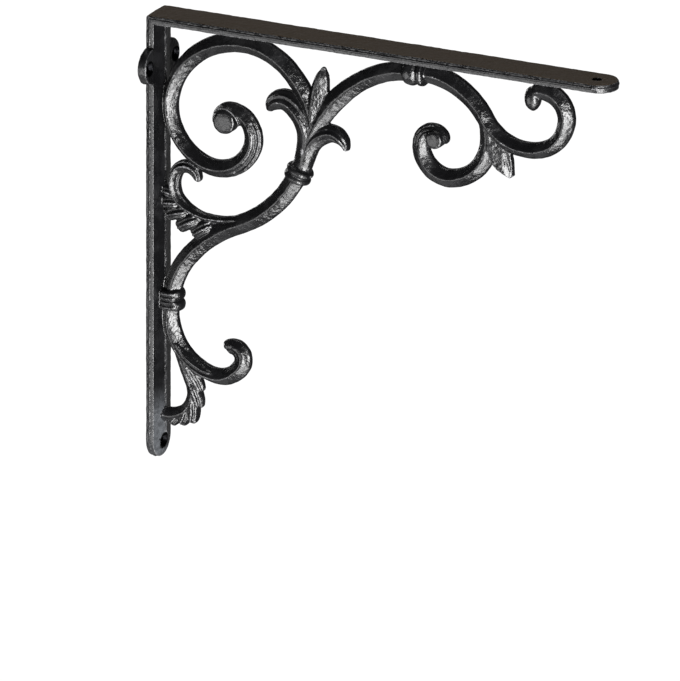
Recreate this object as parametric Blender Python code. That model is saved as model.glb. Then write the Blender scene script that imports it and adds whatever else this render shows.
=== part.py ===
"""Ornate cast iron shelf bracket: one casting, glossy black, fixed to a wall.

Frame: +X runs out from the wall under the shelf, +Y is along the wall and +Z is up.
The origin lies on the wall face, halfway between the two upper screws.
Sizes below are in millimetres, and the scroll work is drawn in the plane Y = 0 with
z measured down from the shelf face. put() turns both into metres in the frame above.
"""

import math

import bmesh
import bpy
import numpy as np

MM = 0.001

# The L of two straps. The room side of each is a low gable, and both free ends are half round.
STRAP_WIDTH = 20.0
STRAP_EDGE = 4.4
STRAP_RIDGE = 6.4
ARM_LENGTH = 261.6
WALL_LENGTH = 236.2
CORNER_RADIUS = 2.6
EDGE_ROUND = 0.8
INNER_ROUND = 0.5
END_STEPS = 7
CORNER_STEPS = 5

# The pair of ears and the screws. The frame's origin is level with the ear screws.
EAR_DROP = 26.8
EAR_RADIUS = 9.5
EAR_THICKNESS = 4.8
EAR_SCREW_Y = 14.5
FOOT_SCREW_DROP = 227.8
ARM_SCREW_X = 250.4
SCREW_RADIUS = 2.4
SINK_RADIUS = 4.1
SINK_DEPTH = 2.2
GABLE_SINK = 0.6
THROUGH = 14.0
HOLE_SEGMENTS = 14
EAR_SEGMENTS = 22

# The cast bar that all scrolls share: a ridge down the middle of each face.
BAR_HALF = 4.5
BAR_DEPTH = 4.5
BAR_SIDE = ((0.0, 1.3), (1.0, 1.3))
FACET_SWELL = 0.05
SAGITTA = 0.25
MOST_TURN = math.radians(18.0)
SHARP = math.radians(32.0)

# Each scroll is a start (x, z, heading), a chain of tangent arcs (radius in mm, turn in degrees,
# anticlockwise positive with the wall at the left) and its width and depth as (part of the length
# gone, share of BAR_HALF or BAR_DEPTH).
RING_START = (90.6, -48.9, 98.0)
RING_ARCS = ((48.4, 40.0), (36.2, 41.6), (41.9, 70.9), (31.1, 85.3), (20.5, 94.3), (14.0, 109.6), (7.0, 95.0))
RING_WIDTH = ((0.0, 1.06), (0.33, 1.09), (0.6, 0.88), (0.72, 1.0), (0.87, 1.04), (0.95, 0.84), (1.0, 0.35))
RING_DEPTH = ((0.0, 1.0), (0.9, 0.98), (1.0, 0.8))
STEM_START = (81.8, -73.9, -113.7)
STEM_ARCS = ((63.7, -43.7), (72.4, 30.7), (38.8, 32.0))
STEM_WIDTH = ((0.0, 1.14), (0.35, 1.11), (1.0, 1.05))
STEM_DEPTH = ((0.0, 1.03), (1.0, 1.03))
HOOK_START = (9.5, -156.0, -95.5)
HOOK_ARCS = ((30.7, 84.2), (14.7, 73.0), (6.2, 138.0))
HOOK_WIDTH = ((0.0, 1.0), (0.35, 0.96), (0.55, 0.88), (0.78, 1.04), (0.93, 0.98), (1.0, 0.66))
HOOK_DEPTH = ((0.0, 1.0), (0.88, 1.0), (1.0, 0.6))
ARCH_START = (87.4, -57.8, 64.0)
ARCH_ARCS = ((420.0, -1.5), (72.2, -33.8), (53.5, -28.1))
ARCH_WIDTH = ((0.0, 0.7), (0.3, 1.16), (0.6, 1.1), (1.0, 1.08))
ARCH_DEPTH = ((0.0, 1.01), (1.0, 1.01))
ESS_START = (146.9, -11.3, 8.4)
ESS_ARCS = ((40.4, -66.7), (28.3, 74.5), (19.7, 69.5), (13.0, 124.0))
ESS_WIDTH = ((0.0, 1.1), (0.17, 1.13), (0.32, 1.05), (0.52, 0.92), (0.72, 0.97), (0.93, 1.06), (1.0, 0.5))
ESS_DEPTH = ((0.0, 1.01), (0.93, 0.97), (1.0, 0.75))
LOW_START = (179.8, -21.3, -43.8)
LOW_ARCS = ((47.0, -8.5), (23.8, -121.4), (15.4, -105.5), (7.7, -118.0))
LOW_WIDTH = ((0.0, 0.5), (0.16, 0.95), (0.5, 1.04), (0.72, 1.1), (0.86, 0.95), (0.95, 0.75), (1.0, 0.12))
LOW_DEPTH = ((0.0, 0.8), (0.14, 0.97), (0.85, 0.97), (1.0, 0.85))

# Leaves follow their midribs. Left and right of the midrib, and the depth, are in mm.
LEFT_LEAF_START = (82.6, -76.0, 68.5)
LEFT_LEAF_ARCS = ((60.3, 17.8), (21.1, 60.2), (7.6, 112.0))
LEFT_WING = ((0.0, 5.4), (0.2, 5.6), (0.4, 5.2), (0.62, 5.3), (0.82, 4.6), (0.94, 3.4), (1.0, 1.5))
LEFT_CURL = ((0.0, 3.6), (0.3, 4.2), (0.55, 6.6), (0.8, 6.4), (0.93, 4.2), (1.0, 1.5))
LEFT_DEPTH = ((0.0, 4.3), (0.3, 5.0), (0.7, 5.3), (0.92, 4.4), (1.0, 2.4))
RIGHT_LEAF_START = (83.8, -76.0, 73.8)
RIGHT_LEAF_ARCS = ((217.6, -4.3), (15.7, -48.4), (7.9, -112.0))
RIGHT_CURL = ((0.0, 3.2), (0.3, 3.6), (0.55, 4.9), (0.85, 3.4), (1.0, 1.2))
RIGHT_WING = ((0.0, 3.4), (0.3, 3.8), (0.6, 5.0), (0.86, 3.6), (1.0, 1.2))
RIGHT_DEPTH = ((0.0, 4.4), (0.3, 4.9), (0.7, 5.1), (0.92, 4.2), (1.0, 2.2))
LEAF_SIDE = ((0.0, 1.4), (0.8, 1.6), (1.0, 1.0))
CROOK_START = (41.3, -109.9, 174.7)
CROOK_ARCS = ((380.0, -1.4), (26.7, -40.6), (15.3, -69.3), (6.4, -166.0))
CROOK_LEFT = ((0.0, 2.6), (0.4, 3.9), (0.65, 2.9), (0.87, 2.6), (1.0, 1.4))
CROOK_RIGHT = ((0.0, 3.4), (0.14, 4.7), (0.4, 3.7), (0.6, 3.2), (0.82, 3.8), (0.94, 3.0), (1.0, 1.5))
CROOK_DEPTH = ((0.0, 4.1), (0.5, 4.7), (0.9, 4.2), (1.0, 2.6))
FOOT_START = (11.3, -171.4, -67.0)
FOOT_ARCS = ((2355.0, 0.62), (13.5, -125.9))
FOOT_LEFT = ((0.0, 1.8), (0.25, 3.0), (0.6, 3.3), (1.0, 3.6))
FOOT_RIGHT = ((0.0, 1.8), (0.25, 3.0), (0.6, 3.4), (1.0, 3.8))
FOOT_DEPTH = ((0.0, 3.7), (0.4, 4.5), (1.0, 4.6))
ACANTHUS_SIDE = ((0.0, 1.5), (1.0, 1.5))

# The bud and the spear are straight blades from start to tip, the spear a little bent.
BUD_START = (90.2, -51.0)
BUD_TIP = (96.0, -16.6)
BUD_WIDTH = ((0.0, 1.2), (0.3, 3.7), (0.6, 4.6), (0.88, 2.85), (1.0, 0.9))
BUD_DEPTH = ((0.0, 4.2), (0.55, 4.7), (0.85, 3.5), (1.0, 1.4))
BUD_SIDE = ((0.0, 1.6), (0.7, 1.9), (1.0, 0.8))
BUD_STEPS = 9
SPEAR_START = (190.6, -32.0)
SPEAR_TIP = (202.6, -59.0)
SPEAR_BEND = -0.04
SPEAR_LEFT = ((0.0, 1.6), (0.5, 4.4), (0.8, 2.9), (1.0, 0.8))
SPEAR_RIGHT = ((0.0, 1.6), (0.5, 6.0), (0.8, 5.0), (1.0, 0.8))
SPEAR_DEPTH = ((0.0, 3.8), (0.7, 4.2), (1.0, 2.9))
SPEAR_SIDE = ((0.0, 2.7), (1.0, 2.7))
SPEAR_STEPS = 9

# Fingers of the two acanthus leaves: root x, root z, tip x, tip z, half width and bend.
CROOK_FINGERS = (
    (17.5, -99.5, 5.0, -95.8, 2.7, -0.16),
    (20.5, -102.5, 5.6, -101.6, 2.7, -0.10),
    (24.0, -104.6, 7.6, -109.0, 3.0, -0.08),
    (29.5, -106.5, 13.8, -114.2, 3.4, -0.06),
    (36.0, -108.0, 22.3, -116.8, 3.2, -0.05),
)
FOOT_FINGERS = (
    (14.8, -180.5, 26.8, -197.8, 3.1, 0.08),
    (17.9, -191.0, 25.9, -207.8, 3.0, 0.10),
    (19.4, -201.0, 21.6, -216.6, 2.9, 0.14),
    (18.0, -207.5, 16.2, -218.4, 2.9, 0.10),
    (13.5, -210.5, 10.2, -219.0, 2.7, 0.05),
)
FINGER_WIDTH = ((0.0, 0.55), (0.55, 1.0), (0.86, 0.86), (1.0, 0.28))
FINGER_DEPTH = ((0.0, 3.3), (0.5, 4.1), (0.85, 3.5), (1.0, 1.7))
FINGER_SIDE = ((0.0, 1.4), (0.8, 1.5), (1.0, 0.9))
FINGER_STEPS = 5

# Collars: centre x, centre z, heading of the bar, ring radius and bead half length.
COLLAR_SHANK = 5.6
COLLAR_END = 5.0
COLLAR_LIP = 0.5
COLLAR_FLATTEN = 0.95
FLEUR_COLLAR = (81.8, -74.9, 66.0, 7.4, 1.9)
ARM_COLLAR = (148.6, -11.4, 2.0, 7.0, 2.9)
WALL_COLLAR = (10.0, -152.2, 90.0, 7.0, 3.1)

# Eyes at the scroll ends: x, z, radius and half depth.
RING_EYE = (41.9, -52.9, 5.9, 5.6)
LOW_EYE = (160.4, -44.5, 4.6, 5.3)
ESS_EYE = (215.2, -16.8, 4.1, 4.3)
EYE_DOME = ((0.0, 0.45), (0.5, 0.86), (1.6, 1.0))
ROUND_SEGMENTS = 16
BEAD_ROWS = 4

BLACK = (0.013, 0.013, 0.014, 1.0)
GLOSS = 0.32


def clear_scene():
    """Remove what the startup scene holds."""
    for obj in list(bpy.data.objects):
        bpy.data.objects.remove(obj)


def put(x, y, z):
    """A drawing point in mm as a point of the frame in metres."""
    return (x * MM, y * MM, (z + EAR_DROP) * MM)


def mesh_object(name, points, faces, helper=True):
    """A closed mesh with its faces turned outward, in drawing millimetres."""
    mesh = bpy.data.meshes.new(name)
    mesh.from_pydata([put(*point) for point in points], [], faces)
    work = bmesh.new()
    work.from_mesh(mesh)
    bmesh.ops.remove_doubles(work, verts=work.verts[:], dist=1e-6)
    bmesh.ops.dissolve_degenerate(work, dist=1e-7, edges=work.edges[:])
    bmesh.ops.recalc_face_normals(work, faces=work.faces[:])
    work.to_mesh(mesh)
    work.free()
    mesh.shade_smooth()
    mesh.set_sharp_from_angle(angle=SHARP)
    obj = bpy.data.objects.new(name, mesh)
    bpy.context.scene.collection.objects.link(obj)
    if helper:
        obj.hide_render = True
        obj.display_type = "WIRE"
    return obj


def skin(rings, closed_ends=True):
    """Faces that join equal rings of points in order, with a fan of faces over each end."""
    count = len(rings[0])
    points = [point for ring in rings for point in ring]
    faces = []
    for row in range(len(rings) - 1):
        for column in range(count):
            following = (column + 1) % count
            low = row * count
            faces.append((low + column, low + following, low + count + following, low + count + column))
    if closed_ends:
        for row in (0, len(rings) - 1):
            middle = np.mean(np.array(rings[row]), axis=0)
            points.append(tuple(middle))
            hub = len(points) - 1
            for column in range(count):
                faces.append((row * count + column, row * count + (column + 1) % count, hub))
    return points, faces


def walk(start, arcs):
    """Stations (x, z, heading, distance) along a chain of tangent arcs."""
    x, z, heading = start[0], start[1], math.radians(start[2])
    stations = [(x, z, heading, 0.0)]
    gone = 0.0
    for radius, turn in arcs:
        angle = math.radians(turn)
        length = abs(angle) * radius
        step_turn = min(MOST_TURN, 2 * math.acos(1 - SAGITTA / radius))
        steps = max(2, math.ceil(abs(angle) / step_turn))
        for _ in range(steps):
            part = angle / steps
            chord = 2 * radius * math.sin(abs(part) / 2)
            x += chord * math.cos(heading + part / 2)
            z += chord * math.sin(heading + part / 2)
            heading += part
            gone += length / steps
            stations.append((x, z, heading, gone))
    return stations


def blade(start, tip, bend, steps):
    """Stations from start to tip along a shallow arc whose sagitta is bend times the chord."""
    dx, dz = tip[0] - start[0], tip[1] - start[1]
    chord = math.hypot(dx, dz)
    heading = math.atan2(dz, dx)
    stations = []
    for step in range(steps + 1):
        t = step / steps
        off = 4 * bend * chord * t * (1 - t)
        slope = math.atan(4 * bend * (1 - 2 * t))
        x = start[0] + dx * t - math.sin(heading) * off
        z = start[1] + dz * t + math.cos(heading) * off
        stations.append((x, z, heading + slope, chord * t))
    return stations


def graded(t, knots):
    """A value read off (position, value) knots with a smooth blend between them."""
    for (t0, v0), (t1, v1) in zip(knots, knots[1:]):
        if t <= t1:
            s = min(max((t - t0) / (t1 - t0), 0.0), 1.0)
            return v0 + (v1 - v0) * s * s * (3 - 2 * s)
    return knots[-1][1]


def ridged(left, right, depth, side):
    """Section of a bar: a front and a back ridge, four swelling facets and two narrow sides."""
    swell = FACET_SWELL * depth
    half = []
    for sign, width in ((-1, right), (1, left)):
        half.append([(sign * width * 0.5, (depth + side) / 2 + swell), (sign * width, side)])
    right_side, left_side = half
    front = [(0.0, -depth)] + [(u, -y) for u, y in right_side]
    back = [(u, y) for u, y in reversed(right_side)] + [(0.0, depth)] + [(u, y) for u, y in left_side]
    close = [(u, -y) for u, y in reversed(left_side)]
    return front + back + close


def fluted(left, right, depth, side):
    """Section of a leaf: a midrib, a flute and a lesser rib on both sides of it."""
    steps = ((0.34, 0.66), (0.62, 0.74), (1.0, 0.0))

    def flank(sign, width):
        return [(sign * width * u, side + (depth - side) * h) for u, h in steps]

    right_side, left_side = flank(-1, right), flank(1, left)
    front = [(0.0, -depth)] + [(u, -y) for u, y in right_side]
    back = [(u, y) for u, y in reversed(right_side)] + [(0.0, depth)] + [(u, y) for u, y in left_side]
    close = [(u, -y) for u, y in reversed(left_side)]
    return front + back + close


def scaled(knots, size):
    """Knots whose values are multiplied by size."""
    return tuple((t, value * size) for t, value in knots)


def sweep(name, stations, left, right, depth, side, section=ridged):
    """A section carried along stations, its sizes graded by the part of the length gone."""
    total = stations[-1][3]
    rings = []
    for x, z, heading, gone in stations:
        t = gone / total
        outline = section(graded(t, left), graded(t, right), graded(t, depth), graded(t, side))
        across_x, across_z = -math.sin(heading), math.cos(heading)
        rings.append([(x + u * across_x, y, z + u * across_z) for u, y in outline])
    points, faces = skin(rings)
    return mesh_object(name, points, faces)


def bar(name, start, arcs, width, depth):
    """A scroll bar of equal width on both sides of its centre line."""
    half = scaled(width, BAR_HALF)
    return sweep(name, walk(start, arcs), half, half, scaled(depth, BAR_DEPTH), BAR_SIDE)


def finger(name, root_x, root_z, tip_x, tip_z, half, bend):
    """One pointed finger of an acanthus leaf, fullest past the middle and blunt at its tip."""
    stations = blade((root_x, root_z), (tip_x, tip_z), bend, FINGER_STEPS)
    width = scaled(FINGER_WIDTH, half)
    return sweep(name, stations, width, width, FINGER_DEPTH, FINGER_SIDE)


def circle(segments):
    """Cosine and sine of equal steps round a circle."""
    angles = [math.tau * (index + 0.5) / segments for index in range(segments)]
    return [(math.cos(angle), math.sin(angle)) for angle in angles]


def collar(name, x, z, heading, radius, bead):
    """Two beads side by side round a bar, with a thin shank at both ends."""
    reach = 2 * bead + COLLAR_LIP
    profile = [(-reach, COLLAR_END)]
    for centre in (-bead, bead):
        for index in range(BEAD_ROWS):
            phi = math.pi * (index + 0.5) / BEAD_ROWS
            swell = (radius - COLLAR_SHANK) * math.sin(phi)
            profile.append((centre - bead * math.cos(phi), COLLAR_SHANK + swell))
    profile.append((reach, COLLAR_END))
    angle = math.radians(heading)
    along_x, along_z = math.cos(angle), math.sin(angle)
    rings = []
    for along, size in profile:
        ring = []
        for u, y in circle(ROUND_SEGMENTS):
            px = x + along * along_x - size * u * along_z
            pz = z + along * along_z + size * u * along_x
            ring.append((px, size * y * COLLAR_FLATTEN, pz))
        rings.append(ring)
    points, faces = skin(rings)
    return mesh_object(name, points, faces)


def eye(name, x, z, radius, half_depth):
    """A round button across the casting, its two faces slightly domed."""
    front = [(inset - half_depth, radius * share) for inset, share in EYE_DOME]
    back = [(-y, size) for y, size in reversed(front)]
    rings = [[(x + size * u, y, z + size * v) for u, v in circle(ROUND_SEGMENTS)] for y, size in front + back]
    points, faces = skin(rings)
    return mesh_object(name, points, faces)


def strap_section():
    """Half of the strap's section as (inset from the edge, offset from the outer face)."""
    corner = 1 - math.sqrt(0.5)
    gable = (STRAP_RIDGE - STRAP_EDGE) / (STRAP_WIDTH / 2)
    return (
        (EDGE_ROUND, 0.0),
        (EDGE_ROUND * corner, EDGE_ROUND * corner),
        (0.0, EDGE_ROUND),
        (0.0, STRAP_EDGE - INNER_ROUND),
        (INNER_ROUND * corner, STRAP_EDGE - INNER_ROUND * corner),
        (INNER_ROUND, STRAP_EDGE + gable * INNER_ROUND),
    )


def straps():
    """The L: one section carried out along the arm, round the corner and down the wall."""
    half = STRAP_WIDTH / 2
    side = strap_section()
    loop = [(1, *point) for point in side]
    loop.append((1, half, STRAP_RIDGE))
    loop += [(-1, *point) for point in reversed(side)]
    quarter = [math.pi / 2 * step / END_STEPS for step in range(END_STEPS + 1)]
    rings = []
    for phi in reversed(quarter):
        reach, spread = math.sin(phi), math.cos(phi)
        rings.append([
            (ARM_LENGTH - half + (half - inset) * reach, sign * (half - inset) * spread, -offset)
            for sign, inset, offset in loop
        ])
    for step in range(CORNER_STEPS + 1):
        theta = math.pi / 2 * (1 + step / CORNER_STEPS)
        ring = []
        for sign, inset, offset in loop:
            x, z = offset, -offset
            if offset < CORNER_RADIUS:
                x = CORNER_RADIUS + (CORNER_RADIUS - offset) * math.cos(theta)
                z = -CORNER_RADIUS + (CORNER_RADIUS - offset) * math.sin(theta)
            ring.append((x, sign * (half - inset), z))
        rings.append(ring)
    for phi in quarter:
        reach, spread = math.sin(phi), math.cos(phi)
        rings.append([
            (offset, sign * (half - inset) * spread, half - WALL_LENGTH - (half - inset) * reach)
            for sign, inset, offset in loop
        ])
    points, faces = skin(rings, closed_ends=False)
    return mesh_object("bracket", points, faces, helper=False)


def turned(name, through_wall, profile, y, z, segments):
    """A profile of (along, radius) turned about a line along X at (y, z), or along Z at (y, x = z)."""
    rings = []
    for along, radius in profile:
        ring = [(along, y + radius * a, z + radius * b) for a, b in circle(segments)]
        rings.append(ring if through_wall else [(z_or_x, y1, x1) for x1, y1, z_or_x in ring])
    points, faces = skin(rings)
    return mesh_object(name, points, faces)


def ear(name, side):
    """A round lobe on one edge of the wall strap, its rim rounded on both faces."""
    low = EDGE_ROUND * 0.3
    back = [(0.0, EAR_RADIUS - EDGE_ROUND), (low, EAR_RADIUS - low), (EDGE_ROUND, EAR_RADIUS)]
    front = [(EAR_THICKNESS - along, radius) for along, radius in reversed(back)]
    return turned(name, True, back + front, side * STRAP_WIDTH / 2, -EAR_DROP, EAR_SEGMENTS)


def screw_hole(name, through_wall, face, y, z):
    """A countersunk hole, plain through the metal and opening to a cone at the given room-side face."""
    outward = math.copysign(1.0, face)
    profile = (
        (face - outward * THROUGH, SCREW_RADIUS),
        (face - outward * SINK_DEPTH, SCREW_RADIUS),
        (face, SINK_RADIUS),
        (face + outward * THROUGH / 2, SINK_RADIUS),
    )
    return turned(name, through_wall, profile, y, z, HOLE_SEGMENTS)


def boolean(body, other, operation):
    """Join a helper to the body, or cut it away, as a modifier."""
    modifier = body.modifiers.new(other.name, "BOOLEAN")
    modifier.operation = operation
    modifier.solver = "EXACT"
    modifier.object = other


def scroll_bars():
    """The ring, the stem and the hook below it, the arch, the S beside it and the lower volute."""
    return [
        bar("ring", RING_START, RING_ARCS, RING_WIDTH, RING_DEPTH),
        bar("stem", STEM_START, STEM_ARCS, STEM_WIDTH, STEM_DEPTH),
        bar("hook", HOOK_START, HOOK_ARCS, HOOK_WIDTH, HOOK_DEPTH),
        bar("arch", ARCH_START, ARCH_ARCS, ARCH_WIDTH, ARCH_DEPTH),
        bar("ess", ESS_START, ESS_ARCS, ESS_WIDTH, ESS_DEPTH),
        bar("low_volute", LOW_START, LOW_ARCS, LOW_WIDTH, LOW_DEPTH),
    ]


def leaves():
    """The fleur's two leaves and bud, the spear, and the two acanthus leaves with their fingers."""
    left_path = walk(LEFT_LEAF_START, LEFT_LEAF_ARCS)
    right_path = walk(RIGHT_LEAF_START, RIGHT_LEAF_ARCS)
    bud_path = blade(BUD_START, BUD_TIP, 0.0, BUD_STEPS)
    spear_path = blade(SPEAR_START, SPEAR_TIP, SPEAR_BEND, SPEAR_STEPS)
    crook_path = walk(CROOK_START, CROOK_ARCS)
    foot_path = walk(FOOT_START, FOOT_ARCS)
    parts = [
        sweep("left_leaf", left_path, LEFT_WING, LEFT_CURL, LEFT_DEPTH, LEAF_SIDE, fluted),
        sweep("right_leaf", right_path, RIGHT_CURL, RIGHT_WING, RIGHT_DEPTH, LEAF_SIDE, fluted),
        sweep("bud", bud_path, BUD_WIDTH, BUD_WIDTH, BUD_DEPTH, BUD_SIDE),
        sweep("spear", spear_path, SPEAR_LEFT, SPEAR_RIGHT, SPEAR_DEPTH, SPEAR_SIDE),
        sweep("crook", crook_path, CROOK_LEFT, CROOK_RIGHT, CROOK_DEPTH, ACANTHUS_SIDE),
        sweep("foot_leaf", foot_path, FOOT_LEFT, FOOT_RIGHT, FOOT_DEPTH, ACANTHUS_SIDE),
    ]
    for kind, table in (("crook_finger", CROOK_FINGERS), ("foot_finger", FOOT_FINGERS)):
        for index, row in enumerate(table):
            parts.append(finger(f"{kind}_{index + 1}", *row))
    return parts


def build():
    """Straps first, then everything cast on to them, then the screw holes."""
    clear_scene()
    body = straps()
    joined = [ear("ear_left", -1), ear("ear_right", 1)] + scroll_bars() + leaves()
    joined.append(collar("fleur_collar", *FLEUR_COLLAR))
    joined.append(collar("arm_collar", *ARM_COLLAR))
    joined.append(collar("wall_collar", *WALL_COLLAR))
    joined.append(eye("ring_eye", *RING_EYE))
    joined.append(eye("low_eye", *LOW_EYE))
    joined.append(eye("ess_eye", *ESS_EYE))
    for other in joined:
        boolean(body, other, "UNION")
    gable_face = STRAP_RIDGE - GABLE_SINK
    holes = [
        screw_hole("ear_screw_left", True, EAR_THICKNESS, -EAR_SCREW_Y, -EAR_DROP),
        screw_hole("ear_screw_right", True, EAR_THICKNESS, EAR_SCREW_Y, -EAR_DROP),
        screw_hole("foot_screw", True, gable_face, 0.0, -FOOT_SCREW_DROP),
        screw_hole("arm_screw", False, -gable_face, 0.0, ARM_SCREW_X),
    ]
    for hole in holes:
        boolean(body, hole, "DIFFERENCE")
    material = bpy.data.materials.new("black_enamel")
    material.use_nodes = True
    shader = material.node_tree.nodes["Principled BSDF"]
    shader.inputs["Base Color"].default_value = BLACK
    shader.inputs["Roughness"].default_value = GLOSS
    body.data.materials.append(material)


build()
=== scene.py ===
"""Scrolled shelf bracket, one iron casting in gloss black enamel, in a plain white studio.

Lengths are millimetres on the casting's drawing: x runs out from the wall face, y across the
bracket, and z is zero at the shelf face and negative below it. placed() turns them into metres in
the part's own frame, where the wall face holds the origin, level with the two ear screws.
"""

import logging
import math
from dataclasses import dataclass
from enum import Enum

import bmesh
import bpy
import numpy as np
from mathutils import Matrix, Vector


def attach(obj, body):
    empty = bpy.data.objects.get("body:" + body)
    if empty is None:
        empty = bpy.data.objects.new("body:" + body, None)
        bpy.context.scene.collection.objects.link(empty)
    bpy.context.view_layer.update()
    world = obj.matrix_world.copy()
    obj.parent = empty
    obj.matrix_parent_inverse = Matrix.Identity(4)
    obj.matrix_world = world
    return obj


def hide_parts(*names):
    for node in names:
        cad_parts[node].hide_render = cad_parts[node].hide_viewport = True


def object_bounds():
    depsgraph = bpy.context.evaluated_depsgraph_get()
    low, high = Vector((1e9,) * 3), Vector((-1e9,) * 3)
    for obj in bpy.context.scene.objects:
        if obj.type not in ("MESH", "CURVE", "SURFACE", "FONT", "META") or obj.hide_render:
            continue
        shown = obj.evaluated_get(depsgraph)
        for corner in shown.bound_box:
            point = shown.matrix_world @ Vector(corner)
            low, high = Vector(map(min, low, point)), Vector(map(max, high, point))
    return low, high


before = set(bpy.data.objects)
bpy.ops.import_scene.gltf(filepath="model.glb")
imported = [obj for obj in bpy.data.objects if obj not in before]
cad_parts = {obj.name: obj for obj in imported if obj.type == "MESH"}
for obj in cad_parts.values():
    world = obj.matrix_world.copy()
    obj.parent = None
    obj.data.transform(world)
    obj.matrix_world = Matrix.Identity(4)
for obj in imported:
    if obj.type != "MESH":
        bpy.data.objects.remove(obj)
CAD_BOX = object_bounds()

LOG = logging.getLogger("bracket")
MM = 0.001
SHELF_RISE = 26.8
STATION_STEP = 0.5
SECTION_POINTS = 27

ROUND_POINTS = 64
ROUND = (np.arange(ROUND_POINTS) + 0.5) * math.tau / ROUND_POINTS
QUARTER_TURN = np.linspace(0.0, math.pi / 2, 5)
OUT = np.array([1.0, 0.0, 0.0])
ACROSS = np.array([0.0, 1.0, 0.0])
UP = np.array([0.0, 0.0, 1.0])
LEAST_TAPER = 0.04
BLEND_SHARPNESS = 1.6
BEAD_MARGIN = 0.5
BEAD_NECK = 0.9
MERGE_DISTANCE = 0.002
PLACE_HASHES = (73856093, 19349663, 83492791)
SEED_HASH = 2654435761
MIXING_HASH = 1274126177

Array = np.ndarray
Pair = tuple[float, float]
Triple = tuple[float, float, float]
Colour = tuple[float, float, float, float]
Knots = tuple[Pair, ...]


class Relief(Enum):
    """How the face of a member swells between its two edges."""

    RIDGED = "two facets and a soft ridge"
    LEAFY = "two hollow facets and a midrib"
    LOBED = "a rounded lobe"


@dataclass(frozen=True)
class Shell:
    """A closed surface: its points in drawing millimetres and its faces."""

    points: Array
    faces: list[tuple[int, ...]]


def even(size: float) -> Knots:
    """Knots of a size that stays the same along the length."""
    return (0.0, size), (1.0, size)


def times(knots: Knots, size: float) -> Knots:
    """Knots whose sizes are multiplied by size."""
    return tuple((share, value * size) for share, value in knots)


def graded(knots: Knots, share: Array) -> Array:
    """Read a size off a smooth curve through its knots.

    Cubic Hermite between neighbouring knots, each with the slope that runs through the knots
    beside it.

    Args:
        knots: pairs of share of the length and size.
        share: shares of the length, from 0 to 1.

    Returns:
        The size at each share.
    """
    where, value = np.array(knots, float).T
    slope = np.gradient(value, where)
    left = np.clip(np.searchsorted(where, share, side="right") - 1, 0, len(where) - 2)
    gap = where[left + 1] - where[left]
    s = np.clip((share - where[left]) / gap, 0.0, 1.0)
    low = value[left] * (1 + 2 * s) + slope[left] * gap * s
    high = value[left + 1] * (3 - 2 * s) + slope[left + 1] * gap * (s - 1)
    return low * (1 - s) ** 2 + high * s**2


@dataclass(frozen=True)
class Course:
    """A line in the casting's middle plane."""

    x: Array
    z: Array
    heading: Array
    gone: Array

    @property
    def share(self) -> Array:
        """Share of the length gone at each station."""
        return self.gone / self.gone[-1]


def stepped(x: float, z: float, heading: Array, gone: Array) -> Course:
    """Walk a course from its headings.

    Every step goes its own length in the mean of the headings at its two ends.

    Args:
        x: first point's x.
        z: first point's z.
        heading: headings at the stations, in radians.
        gone: lengths gone at the stations.

    Returns:
        The course.
    """
    middle = (heading[1:] + heading[:-1]) / 2
    step = np.diff(gone)
    xs = x + np.concatenate([[0.0], np.cumsum(step * np.cos(middle))])
    zs = z + np.concatenate([[0.0], np.cumsum(step * np.sin(middle))])
    return Course(xs, zs, heading, gone)


def arc_course(start: Triple, chain: Knots) -> Course:
    """Follow tangent arcs, so that the heading grows evenly along each of them.

    Args:
        start: x, z and heading in degrees.
        chain: radius and turn in degrees of every arc, anticlockwise positive.

    Returns:
        The course.
    """
    radius, turn = np.array(chain, float).T
    turn = np.radians(turn)
    ends = np.concatenate([[0.0], np.cumsum(radius * np.abs(turn))])
    turned = np.concatenate([[0.0], np.cumsum(turn)])
    gone = np.linspace(0.0, ends[-1], int(ends[-1] / STATION_STEP) + 2)
    heading = math.radians(start[2]) + np.interp(gone, ends, turned)
    return stepped(start[0], start[1], heading, gone)


def blade_course(start: Pair, tip: Pair, bend: float) -> Course:
    """Follow a shallow parabola from start to tip.

    Its height over the chord is 4 bend chord t (1 - t), with t the share of the chord.

    Args:
        start: first point.
        tip: last point.
        bend: sagitta as a share of the chord, positive to the left.

    Returns:
        The course.
    """
    ahead = np.array(tip) - np.array(start)
    chord = float(np.hypot(*ahead))
    t = np.linspace(0.0, 1.0, int(chord / STATION_STEP) + 2)
    off = 4 * bend * chord * t * (1 - t)
    along_x, along_z = ahead / chord
    heading = math.atan2(along_z, along_x) + np.arctan(4 * bend * (1 - 2 * t))
    xs = start[0] + ahead[0] * t - along_z * off
    zs = start[1] + ahead[1] * t + along_x * off
    return Course(xs, zs, heading, chord * t)


def swell(relief: Relief, s: Array) -> Array:
    """Share of the full rise at a place across a member's face.

    With the place's distance softened at the midrib, a ridged face falls as a power of it, a
    leafy face falls by its sum with a high power of the plain distance, which leaves it hollow in
    between, and a lobe falls as the square of the plain distance.

    Args:
        relief: the kind of face.
        s: place across, -1 and 1 at the edges and 0 on the midrib.

    Returns:
        The share, 1 on the midrib and near 0 at the edges.
    """
    away = np.abs(s)
    if relief is Relief.RIDGED:
        softness, span, power = 0.05, 0.951, 1.22
        soft = np.sqrt(s**2 + softness**2) - softness
        return 1 - (soft / span) ** power
    if relief is Relief.LEAFY:
        softness, inner, inner_power, outer, outer_power = 0.06, 0.52, 0.9, 0.48, 3.2
        soft = np.sqrt(s**2 + softness**2) - softness
        return 1 - inner * soft**inner_power - outer * away**outer_power
    return 1 - away**2


def eased(value: Array) -> Array:
    """Smooth step from 0 to 1."""
    held = np.clip(value, 0.0, 1.0)
    return held * held * (3 - 2 * held)


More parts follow.
